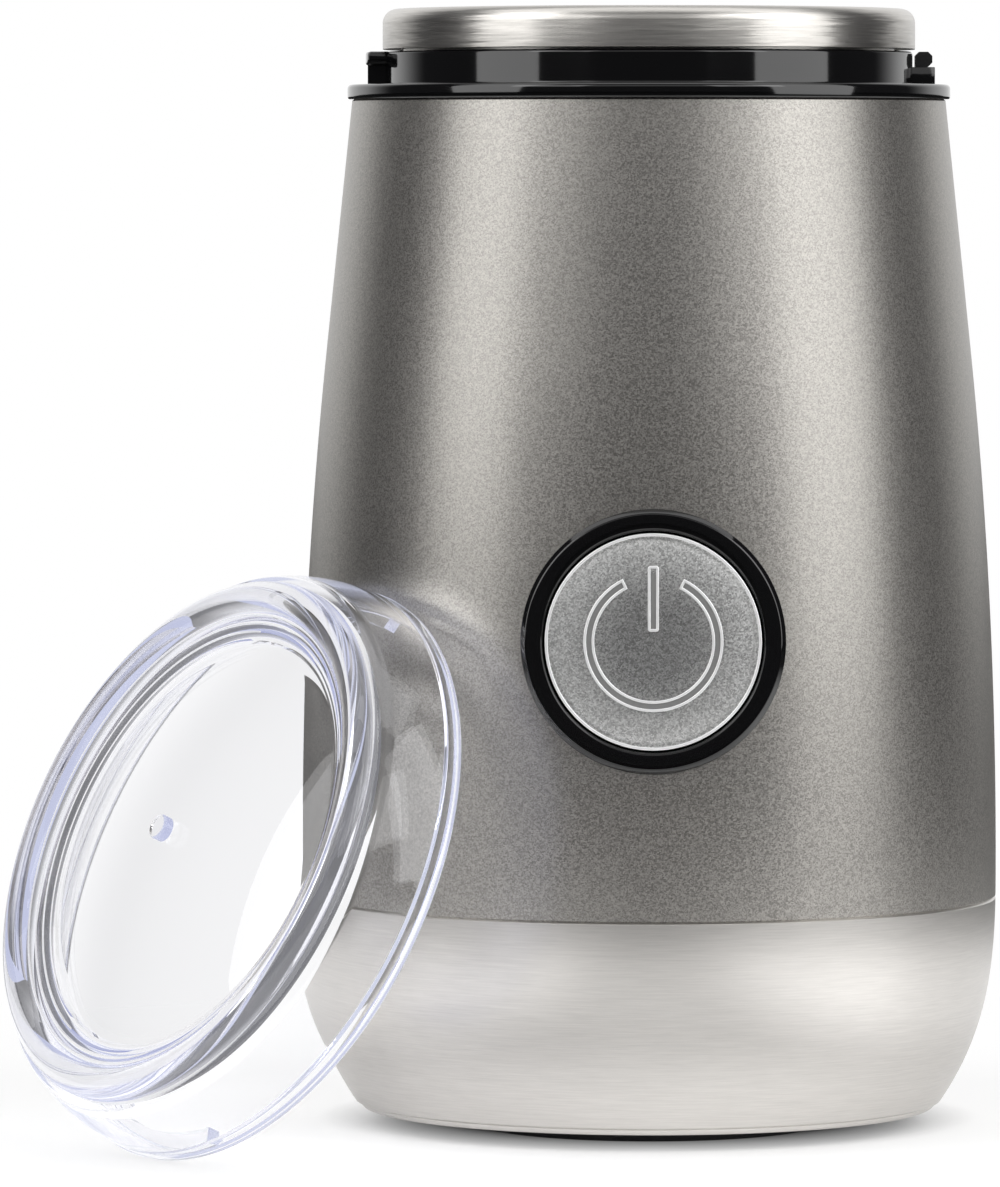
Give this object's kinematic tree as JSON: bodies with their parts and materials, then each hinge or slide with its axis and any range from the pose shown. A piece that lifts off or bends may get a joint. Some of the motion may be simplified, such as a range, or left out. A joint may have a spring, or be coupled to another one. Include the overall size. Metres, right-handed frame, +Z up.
{
  "type": "electric spice grinder",
  "caption": "Electric spice grinder: flared metallic housing on a brushed steel band, round start button, lift-out steel cup with blade, clear lid leaning beside it.",
  "frame": {"origin": "on the surface the grinder stands on, under the motor axis of the housing", "axes": "+Z up along the motor axis, -Y towards the start button, +X to the right seen from the button side"},
  "size_m": [0.1416, 0.1273, 0.1603],
  "materials": {
    "shell_paint": "metallic flake paint, satin gloss",
    "brushed_steel": "brushed round the axis",
    "cup_steel": "bright, finely brushed",
    "gloss_black": "glossy moulded",
    "black_plastic": "fine moulded grain",
    "rubber_black": "matt",
    "zinc_steel": "zinc plated",
    "plated_sheet": "plated sheet",
    "laminated_steel": "stacked laminations",
    "copper_wire": "enamelled winding wire",
    "commutator_copper": "turned",
    "bearing_steel": "ground",
    "spring_steel": "drawn wire",
    "bronze": "sintered",
    "carbon": "pressed carbon",
    "phenolic_brown": "moulded phenolic",
    "ivory_plastic": "moulded",
    "blue_plastic": "moulded",
    "red_plastic": "moulded",
    "grey_plastic": "moulded",
    "frosted_cap": "frosted silver-grey with fine sparkle",
    "clear_plastic": "clear moulded with a faint violet tint"
  },
  "bodies": {
    "housing": {"body_shell": "shell_paint", "base_band": "brushed_steel", "base_plate": "black_plastic", "foot_ring": "rubber_black", "base_screws": "zinc_steel", "cord_grommet": "rubber_black", "collar": "gloss_black", "motor_bracket_top": "plated_sheet", "motor_bracket_bottom": "plated_sheet", "motor_bolts": "zinc_steel", "motor_dampers": "rubber_black", "mount_screws": "zinc_steel", "stator_core": "laminated_steel", "field_coils": "copper_wire", "upper_bearing": "bearing_steel", "lower_bearing": "bearing_steel", "brush_holders": "phenolic_brown", "carbon_brushes": "carbon", "terminal_block": "ivory_plastic", "button_bezel": "gloss_black", "switch_bracket": "black_plastic", "start_switch": "blue_plastic", "button_spring": "spring_steel", "interlock_spring": "spring_steel", "interlock_switch": "blue_plastic"},
    "start_plunger_body": {"start_plunger": "red_plastic"},
    "button": {"button_cap": "frosted_cap", "button_stem": "grey_plastic"},
    "interlock": {"interlock_pin": "black_plastic"},
    "lock_plunger_body": {"interlock_plunger": "red_plastic"},
    "rotor": {"rotor_shaft": "bearing_steel", "rotor_core": "laminated_steel", "armature_windings": "copper_wire", "commutator": "commutator_copper", "cooling_fan": "ivory_plastic", "drive_coupler": "black_plastic"},
    "cup": {"grinding_cup": "cup_steel", "cup_base": "black_plastic", "shaft_bushing": "bronze", "shaft_seal": "rubber_black"},
    "cutter": {"blade": "cup_steel", "blade_shaft": "bearing_steel", "blade_nut": "cup_steel", "driven_coupler": "black_plastic"},
    "lid_body": {"lid": "clear_plastic"}
  },
  "joints": [
    {"name": "rotor_spin", "type": "hinge", "parent": "housing", "child": "rotor", "pos_m": [0, 0, 0.06], "axis": [0, 0, 1], "continuous": true},
    {"name": "cup_lift", "type": "slide", "parent": "housing", "child": "cup", "axis": [0, 0, 1], "range_m": [0, 0.062]},
    {"name": "blade_spin", "type": "hinge", "parent": "cup", "child": "cutter", "pos_m": [0, 0, 0.11], "axis": [0, 0, 1], "continuous": true},
    {"name": "button_press", "type": "slide", "parent": "housing", "child": "button", "axis": [0, 0.9989, -0.0475], "range_m": [0, 0.002], "stiffness_N_per_m": 600, "springref_m": -0.002, "deforming": ["button_spring"]},
    {"name": "start_plunger_press", "type": "slide", "parent": "housing", "child": "start_plunger_body", "axis": [0, 0.9989, -0.0475], "range_m": [0, 0.002]},
    {"name": "interlock_press", "type": "slide", "parent": "housing", "child": "interlock", "axis": [0, 0, -1], "range_m": [0, 0.0018], "stiffness_N_per_m": 400, "springref_m": -0.002, "deforming": ["interlock_spring"]},
    {"name": "lock_plunger_press", "type": "slide", "parent": "housing", "child": "lock_plunger_body", "axis": [0, 0, -1], "range_m": [0, 0.0018]},
    {"name": "lid_lift", "type": "slide", "parent": "housing", "child": "lid_body", "axis": [0, 0, 1], "range_m": [0, 0.17]}
  ],
  "couplings": [
    {"joint": "blade_spin", "follows": "rotor_spin", "ratio": 1},
    {"joint": "start_plunger_press", "follows": "button_press", "ratio": 1},
    {"joint": "lock_plunger_press", "follows": "interlock_press", "ratio": 1}
  ]
}
